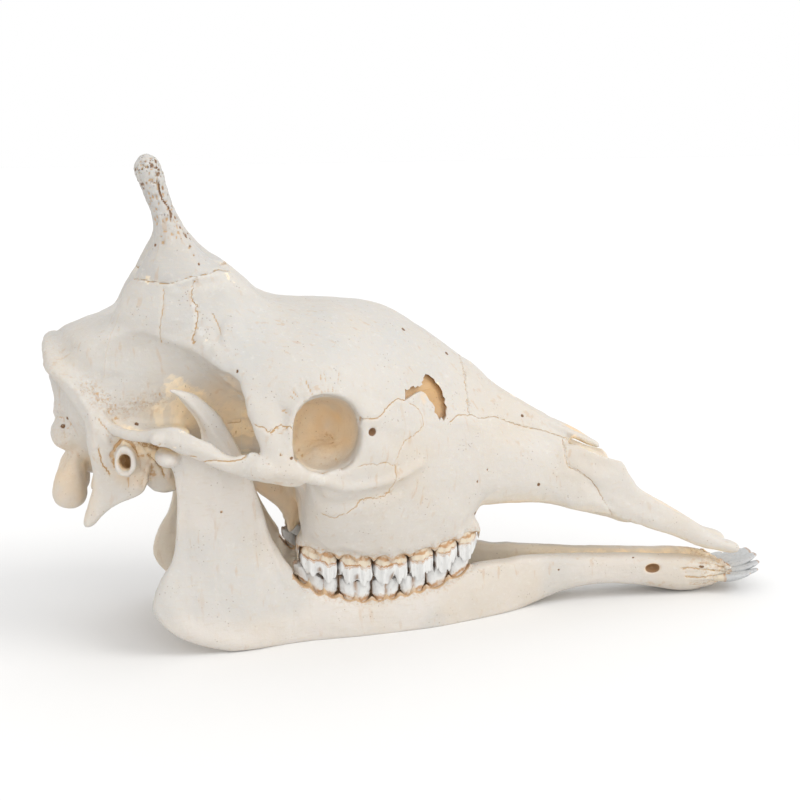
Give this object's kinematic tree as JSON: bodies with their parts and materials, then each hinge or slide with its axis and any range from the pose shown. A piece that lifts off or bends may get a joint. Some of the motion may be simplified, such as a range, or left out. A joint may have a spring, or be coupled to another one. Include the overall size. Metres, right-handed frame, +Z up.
{
  "type": "giraffe skull",
  "caption": "Long tapering skull with small bony horns, round eye sockets, cheek teeth and a separate slender lower jaw, resting closed on a level surface.",
  "frame": {"origin": "on the surface that the skull rests on, below the middle of its box", "axes": "+X towards the muzzle, +Y to the animal's left, +Z up; XZ is the skull's plane of symmetry"},
  "size_m": [0.6118, 0.232, 0.3911],
  "materials": {
    "bone": "dry bone, satin",
    "horn_bone": "dry pitted bone, matt",
    "jaw_bone": "dry bone, satin"
  },
  "bodies": {
    "root": {"braincase": "bone", "face": "bone", "horn_left": "horn_bone", "horn_right": "horn_bone", "zygomatic_arch_left": "bone", "zygomatic_arch_right": "bone", "nasal_left": "bone", "nasal_right": "bone", "premaxilla_left": "bone", "premaxilla_right": "bone", "mandible_left": "jaw_bone", "mandible_right": "jaw_bone"}
  },
  "joints": []
}
